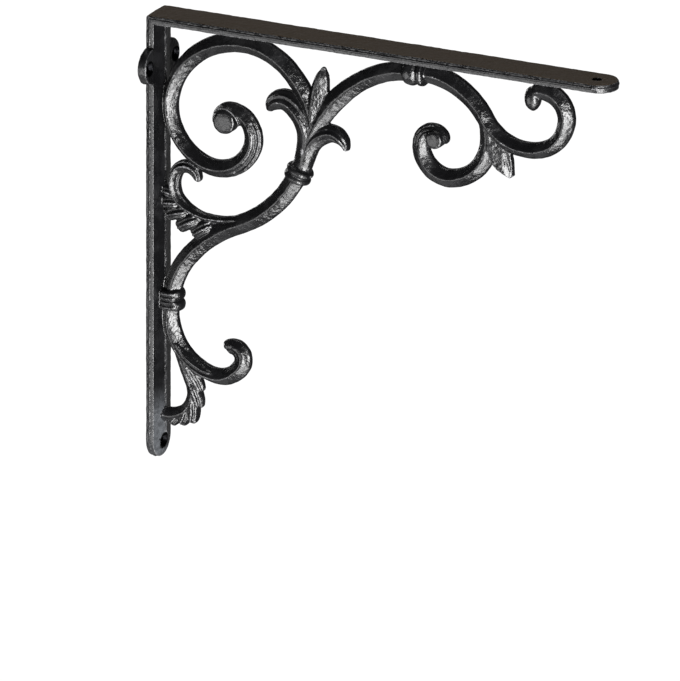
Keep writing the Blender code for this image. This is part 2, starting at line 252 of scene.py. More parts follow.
@dataclass(frozen=True)
class Rib:
    """A raised line along a member, or a groove where its height is negative."""

    place: float
    width: float
    height: float
    since: float
    until: float
    fading: float = 0.08

    def rise(self, s: Array, share: Array) -> Array:
        """A bell curve across the face, which fades in after since and out before until."""
        fade = eased((share - self.since) / self.fading) * eased((self.until - share) / self.fading)
        return self.height * fade * np.exp(-(((s - self.place) / self.width) ** 2))


def tube(rings: Array, capped: bool = True) -> Shell:
    """Close a stack of rings into a shell: four-sided faces between rings and one face on each end.

    Args:
        rings: points as stations, places round the section, and x, y, z.
        capped: whether the ends need faces; rings that fold flat at the ends close by themselves.

    Returns:
        The shell.
    """
    stations, count, _ = rings.shape
    low = np.arange(stations - 1)[:, None] * count
    here = low + np.arange(count)[None, :]
    following = low + (np.arange(count)[None, :] + 1) % count
    quads = np.stack([here, following, following + count, here + count], axis=-1).reshape(-1, 4)
    faces = [tuple(row) for row in quads.tolist()]
    if capped:
        faces.append(tuple(range(count - 1, -1, -1)))
        faces.append(tuple(range((stations - 1) * count, stations * count)))
    return Shell(rings.reshape(-1, 3), faces)


@dataclass(frozen=True)
class Member:
    """One cast member: a swelling section carried along a course in the middle plane.

    The half widths are on the course's left and right, and right is left empty where it is the
    same as left.
    """

    course: Course
    left: Knots
    depth: Knots
    right: Knots = ()
    side: float = 1.3
    relief: Relief = Relief.RIDGED
    end_round: float = 0.0
    shift: Knots = even(0.0)
    crest: Knots = even(0.0)
    ribs: tuple[Rib, ...] = ()
    back: float = 1.0
    most_side: float = 0.6

    def taper(self) -> Array:
        """Share of full size near the end: a quarter circle over the rounded length."""
        share = np.ones_like(self.course.gone)
        if self.end_round > 0:
            left = self.course.gone[-1] - self.course.gone
            inside = np.clip(1 - left / self.end_round, 0.0, 1.0)
            share = np.sqrt(np.clip(1 - inside**2, LEAST_TAPER**2, 1.0))
        return share

    def shell(self) -> Shell:
        """Carry the section along the course.

        At place s across, the front face lies at side + (depth - side) swell(r) + the ribs' rises,
        where r is s stretched so that it is 0 on the crest, and side is at most most_side of the
        depth. The back face mirrors it, back times as deep.

        Returns:
            The member's closed surface.
        """
        share, taper = self.course.share[:, None], self.taper()[:, None]
        s = np.linspace(-1.0, 1.0, SECTION_POINTS)[None, :]
        width = np.where(s < 0, graded(self.right or self.left, share), graded(self.left, share))
        u = graded(self.shift, share) + s * width * taper
        crest = graded(self.crest, share)
        stretched = np.where(s < crest, (s - crest) / (1 + crest), (s - crest) / (1 - crest))
        deepest = graded(self.depth, share) * taper
        side = np.minimum(self.side * taper, deepest * self.most_side)
        half = side + (deepest - side) * swell(self.relief, stretched)
        half = half + taper * sum(rib.rise(s, share) for rib in self.ribs)
        u = np.concatenate([u, u[:, ::-1]], axis=1)
        y = np.concatenate([-half, half[:, ::-1] * self.back], axis=1)
        sin, cos = np.sin(self.course.heading)[:, None], np.cos(self.course.heading)[:, None]
        x = self.course.x[:, None] - u * sin
        z = self.course.z[:, None] + u * cos
        return tube(np.stack([x, y, z], axis=-1))


def ringed(
    centre: Triple, axis: Array, up: Array, profile: Array, other: Array | None = None,
    towards: float = 0.0,
) -> Shell:
    """Turn a profile about an axis.

    With angle phi, a point lies at cos phi along up and sin phi along the third direction. Where
    a second profile is given, the radius blends into it over the half turn that faces towards.

    Args:
        centre: a point of the axis, where the profile's distance along is zero.
        axis: direction of the axis.
        up: a direction square to the axis.
        profile: rows of distance along the axis and radius.
        other: second profile with as many rows, for one side.
        towards: angle in radians of the second profile's side.

    Returns:
        The shell.
    """
    third = np.cross(axis, up)
    around = np.cos(ROUND)[:, None] * up + np.sin(ROUND)[:, None] * third
    along, radius = np.broadcast_to(profile[:, :1], (len(profile), len(ROUND))), profile[:, 1:]
    if other is not None:
        share = eased(0.5 + BLEND_SHARPNESS * np.cos(ROUND - towards))[None, :]
        along = along + share * (other[:, :1] - profile[:, :1])
        radius = radius + share * (other[:, 1:] - profile[:, 1:])
    else:
        radius = np.broadcast_to(radius, along.shape)
    rings = np.array(centre) + along[..., None] * axis + radius[..., None] * around
    return tube(rings)


def beads(spans: tuple[Pair, ...], shank: float, radius: float, rows: int = 41) -> Array:
    """Profile of beads in a row: over each bead the radius grows from the shank by a half sine.

    Args:
        spans: where each bead begins and ends along the axis.
        shank: radius between the beads.
        radius: greatest radius.
        rows: points of the profile.

    Returns:
        Rows of distance along the axis and radius.
    """
    first, last = spans[0][0], spans[-1][1]
    along = np.linspace(first - BEAD_MARGIN, last + BEAD_MARGIN, rows)
    grown = np.full(rows, shank * BEAD_NECK)
    for low, high in spans:
        place = np.clip((along - low) / (high - low), 0.0, 1.0)
        inside = (along >= low) & (along <= high)
        grown = np.where(inside, shank + (radius - shank) * np.sqrt(np.sin(math.pi * place)), grown)
    return np.stack([along, grown], axis=1)


def tilted(heading: float) -> tuple[Array, Array]:
    """The direction at a heading in degrees in the middle plane, and the one square to it."""
    angle = math.radians(heading)
    along = np.array([math.cos(angle), 0.0, math.sin(angle)])
    return along, np.array([-math.sin(angle), 0.0, math.cos(angle)])


def placed(points: Array) -> Array:
    """Drawing millimetres as metres in the part's frame: z gains the shelf face's height."""
    return (points + SHELF_RISE * UP) * MM


def mesh_of(name: str, shells: list[Shell]) -> bpy.types.Mesh:
    """Put shells side by side into one mesh.

    Args:
        name: the mesh's name.
        shells: closed shells.

    Returns:
        The mesh in metres, its faces still wound as they came.
    """
    starts = np.cumsum([0] + [len(shell.points) for shell in shells]).tolist()
    points = placed(np.concatenate([shell.points for shell in shells]))
    faces = [tuple(i + start for i in face) for shell, start in zip(shells, starts) for face in shell.faces]
    mesh = bpy.data.meshes.new(name)
    mesh.from_pydata(points.tolist(), [], faces)
    return mesh


def outward(mesh: bpy.types.Mesh) -> bpy.types.Mesh:
    """Merge the points that coincide in a mesh and turn its closed shells outward."""
    work = bmesh.new()
    work.from_mesh(mesh)
    bmesh.ops.remove_doubles(work, verts=work.verts[:], dist=MERGE_DISTANCE * MM)
    bmesh.ops.recalc_face_normals(work, faces=work.faces[:])
    work.to_mesh(mesh)
    work.free()
    return mesh


def evaluated(obj: bpy.types.Object) -> bpy.types.Mesh:
    """The object's mesh after its modifiers, as a mesh of its own."""
    graph = bpy.context.evaluated_depsgraph_get()
    return bpy.data.meshes.new_from_object(obj.evaluated_get(graph))


def linked(name: str, data: bpy.types.ID) -> bpy.types.Object:
    """A new object in the scene that shows a mesh, a lamp or a camera."""
    obj = bpy.data.objects.new(name, data)
    bpy.context.scene.collection.objects.link(obj)
    return obj


@dataclass(frozen=True)
class Straps:
    """The L of two straps, gabled on the room side, with two ears and four screw holes."""

    width: float = 20.0
    edge: float = 4.4
    ridge: float = 6.4
    line: float = 0.55
    line_half: float = 0.9
    line_shoulder: float = 0.4
    line_shoulder_share: float = 0.75
    seam: float = 0.42
    seam_half: float = 0.60
    seam_at: float = 2.1
    arm: float = 261.6
    wall: float = 236.2
    corner: float = 1.4
    soft: float = 0.8
    inner_soft: float = 0.3
    end_steps: int = 24
    corner_steps: int = 8
    ear_drop: float = 26.8
    ear_radius: float = 9.5
    ear_thickness: float = 4.8
    screw_y: float = 14.5
    foot_screw: float = 227.8
    arm_screw: float = 250.4
    screw_radius: float = 2.4
    sink_radius: float = 4.1
    sink_depth: float = 2.2
    sink_under: float = 0.6
    through: float = 14.0
    margin: float = 0.12

    def loop(self) -> tuple[Array, Array, Array]:
        """Draw the straps' section, from one outer edge over the gable to the other.

        Each half has the rounded outer edge, the mould line on the side, the inner edge and the
        raised line on the ridge.

        Returns:
            Side of the middle, inset from the edge and offset from the outer face, at each row.
        """
        sin, cos = np.sin(QUARTER_TURN), np.cos(QUARTER_TURN)
        middle = self.width / 2
        gable = (self.ridge - self.edge) / middle
        outer = np.stack([self.soft * (1 - sin), self.soft * (1 - cos)], axis=1)
        seam = np.array([
            [0.0, self.seam_at - self.seam_half],
            [-self.seam, self.seam_at],
            [0.0, self.seam_at + self.seam_half],
        ])
        low = self.inner_soft * (1 - cos)
        high = self.edge - self.inner_soft * (1 - sin) + gable * low
        line = np.array([
            [middle - self.line_half, self.ridge - self.line_half * gable],
            [middle - self.line_shoulder, self.ridge + self.line * self.line_shoulder_share],
            [middle, self.ridge + self.line],
        ])
        half = np.concatenate([outer, seam, np.stack([low, high], axis=1), line])
        rows = np.concatenate([half, half[-2::-1]])
        sign = np.concatenate([np.ones(len(half)), -np.ones(len(half) - 1)])
        return sign, rows[:, 0], rows[:, 1]

    def shell(self) -> Shell:
        """Carry the section round the free end of the arm, the corner and the foot.

        At both free ends the half width shrinks as a half circle; at the corner the outer rows
        turn on the corner radius and the others meet in a mitre.

        Returns:
            The closed surface of both straps.
        """
        sign, inset, offset = self.loop()
        half = self.width / 2
        reach = half - inset
        quarter = np.linspace(0.0, math.pi / 2, self.end_steps)[:, None]
        spread = sign * reach * np.cos(quarter)
        gain = reach * np.sin(quarter)
        flat = np.broadcast_to(offset, spread.shape)
        tip = np.stack([self.arm - half + gain, spread, -flat], axis=-1)[::-1]
        foot = np.stack([flat, spread, half - self.wall - gain], axis=-1)
        theta = np.linspace(math.pi / 2, math.pi, self.corner_steps)[:, None]
        turning = np.maximum(self.corner - offset, 0.0)
        x = np.where(offset < self.corner, self.corner + turning * np.cos(theta), offset)
        z = np.where(offset < self.corner, turning * np.sin(theta) - self.corner, -offset)
        bend = np.stack([x, np.broadcast_to(sign * reach, x.shape), z], axis=-1)
        return tube(np.concatenate([tip, bend, foot]), capped=False)

    def ear(self, side: int) -> Shell:
        """A round lobe on one edge of the wall strap, rounded on both faces."""
        depth = self.soft * (1 - np.cos(QUARTER_TURN))
        radius = self.ear_radius - self.soft * (1 - np.sin(QUARTER_TURN))
        back = np.stack([depth, radius], axis=1)
        front = back[::-1] * [-1, 1] + [self.ear_thickness, 0]
        centre = (0.0, side * self.width / 2, -self.ear_drop)
        return ringed(centre, OUT, ACROSS, np.concatenate([back, front]))

    def hole(self, centre: Triple, axis: Array) -> Shell:
        """A countersunk hole whose wide mouth is at centre and opens along axis."""
        profile = np.array([
            [-self.through, self.screw_radius],
            [-self.sink_depth, self.screw_radius],
            [0.0, self.sink_radius],
            [self.through / 2, self.sink_radius],
        ])
        return ringed(centre, axis, ACROSS, profile)

    def screws(self) -> list[tuple[Triple, Array]]:
        """Mouth and outward axis of the two ear holes, the foot's and the arm's."""
        sunk = self.ridge - self.sink_under
        return [
            ((self.ear_thickness, -self.screw_y, -self.ear_drop), OUT),
            ((self.ear_thickness, self.screw_y, -self.ear_drop), OUT),
            ((sunk, 0.0, -self.foot_screw), OUT),
            ((self.arm_screw, 0.0, -sunk), -UP),
        ]

    def hollow(self, points: Array) -> Array:
        """1 for the points that lie inside a screw hole and 0 for the others.

        A point is inside where its distance from the hole's axis is below the mouth's radius, and
        past the countersink below the bore's radius, both with a small margin.

        Args:
            points: places in drawing millimetres.

        Returns:
            The mark of each point.
        """
        inside = np.zeros(len(points), bool)
        for centre, axis in self.screws():
            away = points - np.array(centre)
            along = away @ axis
            radius = np.linalg.norm(away - along[:, None] * axis, axis=1)
            reach = np.where(along > -self.sink_depth - self.margin, self.sink_radius, self.screw_radius)
            inside |= (radius < reach + self.margin) & (np.abs(along) < self.through / 2)
        return inside.astype(np.float32)

    def mesh(self) -> bpy.types.Mesh:
        """Join the ears to the straps and cut the screw holes.

        Returns:
            One closed mesh.
        """
        body = linked("straps_blank", outward(mesh_of("straps_blank", [self.shell()])))
        others = [(self.ear(side), "UNION") for side in (-1, 1)]
        others += [(self.hole(centre, axis), "DIFFERENCE") for centre, axis in self.screws()]
        made = [body]
        for index, (shell, operation) in enumerate(others):
            other = linked(f"strap_tool_{index}", outward(mesh_of(f"strap_tool_{index}", [shell])))
            modifier = body.modifiers.new(other.name, "BOOLEAN")
            modifier.operation, modifier.solver, modifier.object = operation, "EXACT", other
            made.append(other)
        mesh = evaluated(body)
        for obj in made:
            bpy.data.objects.remove(obj)
        return mesh


@dataclass(frozen=True)
class Scroll:
    """A scroll bar: its start, its arcs, and its width and depth as shares of the bar's."""

    start: Triple
    chain: Knots
    width: Knots
    depth: Knots
    end_round: float = 0.0
    ribs: tuple[Rib, ...] = ()
    crest: Knots = even(0.0)

    def member(self, half: float, deep: float) -> Member:
        """The bar at its real half width and half depth."""
        return Member(
            arc_course(self.start, self.chain), times(self.width, half), times(self.depth, deep),
            end_round=self.end_round, crest=self.crest, ribs=self.ribs,
        )


@dataclass(frozen=True)
class Scrolls:
    """The large ring, the stem and hook, the arch, the S with its end volute and the low volute."""

    half: float = 4.5
    deep: float = 4.5
    ring: Scroll = Scroll(
        (90.6, -48.9, 98.0),
        ((48.4, 40.0), (36.2, 41.6), (41.9, 70.9), (31.1, 85.3), (20.5, 94.3), (14.0, 109.6), (7.0, 95.0)),
        ((0.0, 1.06), (0.33, 1.09), (0.6, 0.88), (0.72, 1.0), (0.87, 1.04), (0.95, 0.84), (1.0, 0.40)),
        ((0.0, 1.0), (0.9, 0.98), (1.0, 0.8)),
        ribs=(
            Rib(-0.38, 0.12, -0.55, 0.70, 0.95),
            Rib(-0.56, 0.10, 0.30, 0.68, 0.95),
            Rib(-0.74, 0.10, -0.50, 0.66, 0.95),
        ),
        crest=((0.0, 0.0), (0.33, 0.0), (0.44, -0.16), (0.6, -0.16), (0.72, 0.0), (1.0, 0.0)),
    )
    stem: Scroll = Scroll(
        (81.8, -73.9, -113.7),
        ((63.7, -43.7), (72.4, 30.7), (38.8, 32.0)),
        ((0.0, 1.14), (0.35, 1.11), (1.0, 1.05)),
        even(1.03),
    )
    hook: Scroll = Scroll(
        (9.5, -156.0, -95.5),
        ((30.7, 84.2), (14.7, 73.0), (6.2, 158.0)),
        ((0.0, 1.0), (0.34, 0.96), (0.53, 0.88), (0.75, 1.04), (0.90, 0.98), (1.0, 0.78)),
        ((0.0, 1.0), (0.86, 1.0), (1.0, 0.75)),
        end_round=2.2,
        ribs=(Rib(0.30, 0.18, -0.70, 0.74, 1.1), Rib(-0.42, 0.20, 0.50, 0.78, 1.1)),
        crest=((0.0, 0.0), (0.2, -0.32), (0.5, -0.32), (0.7, 0.0), (1.0, 0.0)),
    )
    arch: Scroll = Scroll(
        (87.4, -57.8, 64.0),
        ((420.0, -1.5), (72.2, -33.8), (53.5, -28.1)),
        ((0.0, 0.7), (0.3, 1.16), (0.6, 1.1), (1.0, 1.08)),
        even(1.01),
    )
    ess: Scroll = Scroll(
        (146.9, -11.3, 8.4),
        ((40.4, -66.7), (28.3, 74.5), (19.7, 69.5), (13.0, 124.0)),
        ((0.0, 1.1), (0.17, 1.13), (0.32, 1.05), (0.52, 0.92), (0.72, 0.97), (0.93, 1.06), (1.0, 0.86)),
        ((0.0, 1.01), (0.93, 0.97), (1.0, 0.9)),
        end_round=3.6,
    )
    low: Scroll = Scroll(
        (179.8, -21.3, -43.8),
        ((47.0, -8.5), (23.8, -121.4), (15.4, -105.5), (7.7, -118.0), (3.8, -84.0)),
        (
            (0.0, 0.5), (0.15, 0.95), (0.48, 1.04), (0.69, 1.1), (0.82, 0.95), (0.89, 0.78), (0.93, 0.63),
            (0.965, 0.47), (1.0, 0.30),
        ),
        ((0.0, 0.8), (0.14, 0.97), (0.85, 0.97), (1.0, 0.8)),
        end_round=2.6,
        ribs=(
            Rib(0.10, 0.15, -0.90, 0.72, 0.97),
            Rib(0.52, 0.15, -0.90, 0.72, 0.97),
            Rib(-0.80, 0.10, 0.25, 0.45, 0.84),
        ),
    )

    def shells(self) -> list[Shell]:
        """All six bars."""
        bars = (self.ring, self.stem, self.hook, self.arch, self.ess, self.low)
        return [bar.member(self.half, self.deep).shell() for bar in bars]


@dataclass(frozen=True)
class Spray:
    """The leaf spray on the stem: two curling leaves, a bud between them and a beaded collar."""

    left: Member = Member(
        arc_course((82.6, -76.0, 68.5), ((60.3, 17.8), (21.1, 60.2), (7.6, 112.0))),
        left=((0.0, 5.4), (0.2, 5.6), (0.4, 5.2), (0.62, 5.3), (0.82, 4.6), (0.94, 3.4), (1.0, 1.5)),
        right=((0.0, 3.6), (0.3, 4.2), (0.55, 6.6), (0.8, 6.4), (0.93, 4.2), (1.0, 1.5)),
        depth=((0.0, 4.3), (0.3, 5.0), (0.7, 5.3), (0.92, 4.4), (1.0, 2.4)),
        relief=Relief.LEAFY,
        crest=((0.0, 0.1), (0.4, 0.0), (1.0, 0.0)),
        ribs=(
            Rib(-0.36, 0.13, -0.75, 0.42, 0.97),
            Rib(-0.56, 0.10, 0.35, 0.40, 0.97),
            Rib(-0.76, 0.10, -0.50, 0.44, 0.95),
            Rib(0.60, 0.12, -0.45, 0.4, 0.95),
        ),
    )
    right: Member = Member(
        arc_course((83.8, -76.0, 73.8), ((217.6, -4.3), (15.7, -48.4), (7.9, -112.0))),
        left=((0.0, 3.2), (0.3, 3.6), (0.55, 4.9), (0.85, 3.4), (1.0, 1.2)),
        right=((0.0, 3.4), (0.3, 3.8), (0.6, 5.0), (0.86, 3.6), (1.0, 1.2)),
        depth=((0.0, 4.4), (0.3, 4.9), (0.7, 5.1), (0.92, 4.2), (1.0, 2.2)),
        relief=Relief.LEAFY,
        crest=((0.0, 0.3), (0.4, 0.2), (1.0, 0.0)),
        ribs=(Rib(-0.42, 0.16, -0.75, 0.45, 1.1), Rib(0.48, 0.14, -0.60, 0.4, 0.97)),
    )
    bud: Member = Member(
        blade_course((90.2, -51.0), (96.0, -16.6), 0.0),
        left=((0.0, 1.2), (0.3, 3.7), (0.6, 4.6), (0.88, 2.85), (1.0, 0.9)),
        depth=((0.0, 4.2), (0.55, 4.7), (0.85, 3.5), (1.0, 1.4)),
        side=1.8,
        crest=even(0.5),
    )
    collar_at: Triple = (81.8, 0.0, -74.9)
    collar_heading: float = 66.0
    collar_shank: float = 5.6
    collar_radius: float = 7.3
    collar_beads: tuple[Pair, ...] = ((-3.7, -0.15), (0.15, 3.7))

    def shells(self) -> list[Shell]:
        """Both leaves, the bud and the collar."""
        profile = beads(self.collar_beads, self.collar_shank, self.collar_radius)
        collar = ringed(self.collar_at, *tilted(self.collar_heading), profile)
        return [self.left.shell(), self.right.shell(), self.bud.shell(), collar]


@dataclass(frozen=True)
class Finger:
    """One finger of an acanthus leaf: a lobe with two grooves, deepest past its middle."""

    root: Pair
    tip: Pair
    half: float
    bend: float
    root_depth: float = 3.3
    depth: float = 4.4
    crest: float = 0.0
    rise_by: float = 0.5
    side: float = 2.5
    late_at: float = 0.8
    late: float = 0.97
    last: float = 0.66
    end_round: float = 1.6
    outline: Knots = ((0.0, 0.40), (0.25, 0.9), (0.6, 1.04), (0.86, 0.92), (1.0, 0.66))
    ribs: tuple[Rib, ...] = (
        Rib(0.40, 0.15, -0.80, 0.12, 1.1),
        Rib(-0.34, 0.15, -0.80, 0.12, 1.1),
        Rib(0.0, 0.12, 0.25, 0.1, 1.1),
    )

    def shell(self) -> Shell:
        """The lobe with its grooves and a blunt tip."""
        depth = (
            (0.0, self.root_depth),
            (self.rise_by, self.depth),
            (self.late_at, self.depth * self.late),
            (1.0, self.depth * self.last),
        )
        return Member(
            blade_course(self.root, self.tip, self.bend), times(self.outline, self.half), depth,
            side=self.side, relief=Relief.LOBED, end_round=self.end_round, crest=even(self.crest),
            ribs=self.ribs,
        ).shell()


@dataclass(frozen=True)
class Acanthus:
    """The crook-shaped leaf at the wall strap and the leaf at the foot, each with its fingers.

    The crook is a thin rim out of the stem that widens and rolls up, with an outer ridge. The web
    fills the gaps behind its fingers, and the wrap lies on the hook's root.
    """

    crook: Member = Member(
        arc_course(
            (52.0, -107.2, 205.0),
            ((27.2, -30.3), (380.0, -0.9), (26.7, -40.6), (15.3, -69.3), (6.4, -166.0)),
        ),
        left=(
            (0.0, 1.4), (0.265, 1.6), (0.33, 1.8), (0.4, 2.4), (0.488, 3.2), (0.6, 3.0), (0.7, 2.8),
            (0.89, 2.6), (1.0, 1.4),
        ),
        right=(
            (0.0, 1.6), (0.1, 1.7), (0.188, 1.7), (0.265, 1.75), (0.4, 1.9), (0.488, 2.3), (0.6, 3.1),
            (0.66, 3.2), (0.847, 3.8), (0.95, 3.0), (1.0, 1.5),
        ),
        depth=((0.0, 3.2), (0.15, 3.5), (0.4, 4.0), (0.55, 4.7), (0.89, 4.2), (1.0, 2.6)),
        side=1.5,
        end_round=1.2,
        shift=(
            (0.0, -4.2), (0.1, -4.5), (0.188, -3.8), (0.265, -3.1), (0.4, -2.2), (0.488, -1.4),
            (0.6, -0.2), (0.66, 0.0), (1.0, 0.0),
        ),
        crest=((0.0, 0.0), (0.35, 0.0), (0.5, 0.15), (0.9, 0.15), (1.0, 0.2)),
        ribs=(
            Rib(0.54, 0.19, -1.10, 0.36, 1.1),
            Rib(0.90, 0.13, 0.60, 0.34, 1.1),
            Rib(-0.66, 0.14, -0.55, 0.40, 0.82),
            Rib(-0.90, 0.10, 0.30, 0.20, 0.86),
            Rib(-0.40, 0.16, -0.55, 0.84, 1.1),
        ),
    )
    foot: Member = Member(
        arc_course((11.3, -171.4, -67.0), ((2355.0, 0.62), (13.5, -125.9))),
        left=((0.0, 1.8), (0.25, 3.0), (0.6, 3.3), (1.0, 3.6)),
        right=((0.0, 1.8), (0.25, 3.0), (0.6, 3.4), (1.0, 3.8)),
        depth=((0.0, 3.7), (0.4, 4.4), (0.7, 4.2), (1.0, 4.6)),
        side=1.5,
        ribs=(Rib(0.45, 0.13, -0.45, 0.02, 0.60), Rib(-0.40, 0.13, -0.45, 0.02, 0.60)),
    )
    web: Member = Member(
        blade_course((37.0, -107.6), (7.5, -100.5), 0.0),
        left=((0.0, 1.5), (0.3, 4.2), (0.7, 4.8), (1.0, 3.4)),
        right=((0.0, 1.5), (0.3, 2.0), (1.0, 3.4)),
        depth=((0.0, 1.6), (0.5, 1.7), (0.8, 2.6), (1.0, 2.8)),
        side=1.2,
        relief=Relief.LOBED,
    )
    wrap: Member = Member(
        blade_course((14.0, -174.5), (35.6, -188.0), -0.11),
        left=((0.0, 1.4), (0.4, 2.5), (0.7, 2.1), (1.0, 0.5)),
        depth=((0.0, 4.3), (0.4, 5.0), (0.8, 4.9), (1.0, 4.2)),
        side=2.4,
        relief=Relief.LOBED,
        ribs=(Rib(0.34, 0.16, -0.40, 0.05, 0.9), Rib(-0.34, 0.16, -0.40, 0.05, 0.9)),
    )
    crook_fingers: tuple[Finger, ...] = (
        Finger((14.6, -97.4), (5.4, -94.8), 2.9, -0.16, 1.2, 4.7, 0.3, 0.30),
        Finger((17.4, -100.5), (5.4, -101.2), 3.2, -0.10, 1.0, 4.9, 0.3, 0.28),
        Finger((22.0, -103.9), (7.4, -107.8), 3.7, -0.08, 0.8, 5.0, 0.3, 0.28),
        Finger((27.6, -106.4), (13.9, -113.8), 3.7, -0.06, 0.8, 5.0, 0.3, 0.30),
        Finger((34.8, -108.6), (22.4, -116.4), 3.5, -0.05, 0.8, 4.9, 0.3, 0.34),
    )
    foot_fingers: tuple[Finger, ...] = (
        Finger((13.6, -176.5), (26.9, -199.4), 3.6, 0.02, 3.4, 5.0, side=1.1, late=0.74, last=0.46),
        Finger((18.8, -190.5), (25.6, -208.2), 3.4, 0.07, 3.0, 4.8, side=1.1, late=0.78, last=0.48),
        Finger((20.6, -200.5), (21.0, -216.4), 3.1, 0.12, 2.8, 4.6, side=1.1, late=0.84, last=0.52),
        Finger((18.8, -207.6), (15.6, -218.0), 2.7, 0.08, 2.6, 4.5, side=1.6),
        Finger((14.4, -211.4), (9.8, -218.4), 2.6, 0.05, 2.4, 4.3, side=1.6),
    )

    def shells(self) -> list[Shell]:
        """Both leaves, the web and the wrap, and then the fingers."""
        parts = (self.crook, self.foot, self.web, self.wrap, *self.crook_fingers, *self.foot_fingers)
        return [part.shell() for part in parts]


@dataclass(frozen=True)
class Trims:
    """The spear leaf, the collars on the arm and the wall, the scrolls' eyes and the S's bulb."""

    spear: Member = Member(
        blade_course((190.6, -32.0), (202.6, -59.0), -0.04),
        left=((0.0, 1.6), (0.3, 4.8), (0.55, 5.9), (0.8, 4.0), (1.0, 0.9)),
        right=((0.0, 1.6), (0.5, 5.0), (0.8, 3.9), (1.0, 0.8)),
        depth=((0.0, 3.8), (0.4, 5.2), (0.8, 5.0), (1.0, 2.9)),
        side=1.6,
        crest=((0.0, 0.0), (0.3, -0.8), (1.0, -0.7)),
        ribs=(Rib(0.62, 0.12, -0.55, 0.25, 0.98),),
    )
    lip: Member = Member(
        arc_course((35.2, -48.6, 58.0), ((7.5, -160.0),)),
        left=((0.0, 0.4), (0.25, 0.95), (0.75, 1.0), (1.0, 0.5)),
        depth=((0.0, 4.4), (0.3, 5.5), (0.8, 5.0), (1.0, 3.4)),
        side=1.0,
        relief=Relief.LOBED,
        back=0.3,
    )
    arm_collar: Triple = (148.6, 0.0, -11.4)
    arm_heading: float = 2.0
    arm_beads: tuple[Pair, ...] = ((-6.0, 1.0), (1.4, 5.4))
    wall_collar: Triple = (10.0, 0.0, -151.8)
    wall_beads: tuple[Pair, ...] = ((-5.6, -0.2), (0.2, 5.6))
    wall_ribs: tuple[Pair, ...] = ((-4.6, -2.4), (-2.2, 0.0), (0.2, 2.4), (2.6, 4.6))
    wall_side: float = 3.9
    collar_shank: float = 5.5
    collar_radius: float = 7.0
    ribbed_shank: float = 6.0
    ribbed_radius: float = 6.9
    eyes: tuple[tuple[float, float, float, float], ...] = (
        (41.4, -52.6, 6.2, 5.7),
        (160.2, -44.6, 4.7, 5.6),
    )
    eye_face: Knots = (
        (0.0, 0.10), (0.06, 0.45), (0.20, 0.70), (0.46, 0.86), (0.90, 0.96), (1.60, 1.0), (2.6, 1.0),
    )
    eye_back: float = 0.3
    bulb_at: Triple = (214.2, 0.0, -16.6)
    bulb: Knots = (
        (-5.6, 0.3), (-5.2, 1.1), (-4.2, 2.4), (-2.6, 3.6), (-0.6, 4.25), (1.4, 4.35), (3.4, 4.15),
        (5.2, 3.5), (6.8, 2.2),
    )

    def eye(self, x: float, z: float, radius: float, half: float) -> Shell:
        """A button at x and z whose face stands half off the middle plane, less on the back."""
        front = np.array(self.eye_face) * [1, radius] - [half, 0]
        back = front[::-1] * [-self.eye_back, 1]
        return ringed((x, 0.0, z), ACROSS, UP, np.concatenate([front, back]))

    def shells(self) -> list[Shell]:
        """The spear, both collars, the two eyes with the ring's lip and the S scroll's bulb."""
        arm = beads(self.arm_beads, self.collar_shank, self.collar_radius)
        wall = beads(self.wall_beads, self.collar_shank, self.collar_radius)
        ribbed = beads(self.wall_ribs, self.ribbed_shank, self.ribbed_radius)
        return [
            self.spear.shell(),
            self.lip.shell(),
            ringed(self.arm_collar, *tilted(self.arm_heading), arm),
            ringed(self.wall_collar, UP, OUT, wall, ribbed, self.wall_side),
            ringed(self.bulb_at, UP, OUT, np.array(self.bulb)),
            *[self.eye(*eye) for eye in self.eyes],
        ]


def lattice_noise(points: Array, cell: float, seed: int) -> Array:
    """Smooth noise between -1 and 1.

    Each corner of a cubic lattice has a hashed value, and a point takes the mean of the eight
    corners round it, weighted by the smooth step of its place between them.

    Args:
        points: places in millimetres.
        cell: lattice pitch.
        seed: number that picks the pattern.

    Returns:
        The noise at each point.
    """
    scaled = points / cell
    base = np.floor(scaled).astype(np.int64)
    part = scaled - base
    part = part * part * (3 - 2 * part)
    total = np.zeros(len(points))
    for corner in range(8):
        step = np.array([corner & 1, (corner >> 1) & 1, (corner >> 2) & 1])
        x, y, z = (base + step).T
        code = (x * PLACE_HASHES[0]) ^ (y * PLACE_HASHES[1]) ^ (z * PLACE_HASHES[2]) ^ (seed * SEED_HASH)
        code = (code ^ (code >> 13)) * MIXING_HASH
        value = ((code ^ (code >> 16)) & 0xFFFFF) / 0x7FFFF - 1
        weight = np.prod(np.where(step, part, 1 - part), axis=1)
        total += weight * value
    return total


def point_arrays(mesh: bpy.types.Mesh) -> tuple[Array, Array]:
    """A mesh's points in millimetres and its point normals, one row each."""
    arrays = []
    for name in ("co", "normal"):
        flat = np.empty(len(mesh.vertices) * 3, np.float32)
        mesh.vertices.foreach_get(name, flat)
        arrays.append(flat.reshape(-1, 3).astype(float))
    return arrays[0] / MM, arrays[1]


def move_points(mesh: bpy.types.Mesh, points: Array) -> None:
    """Put a mesh's points at places in metres."""
    mesh.vertices.foreach_set("co", points.astype(np.float32).ravel())
    mesh.update()


def mark(mesh: bpy.types.Mesh, name: str, values: Array) -> None:
    """Keep a number for each point in a named attribute, which the enamel reads."""
    attribute = mesh.attributes.new(name, "FLOAT", "POINT")
    attribute.data.foreach_set("value", values.astype(np.float32))


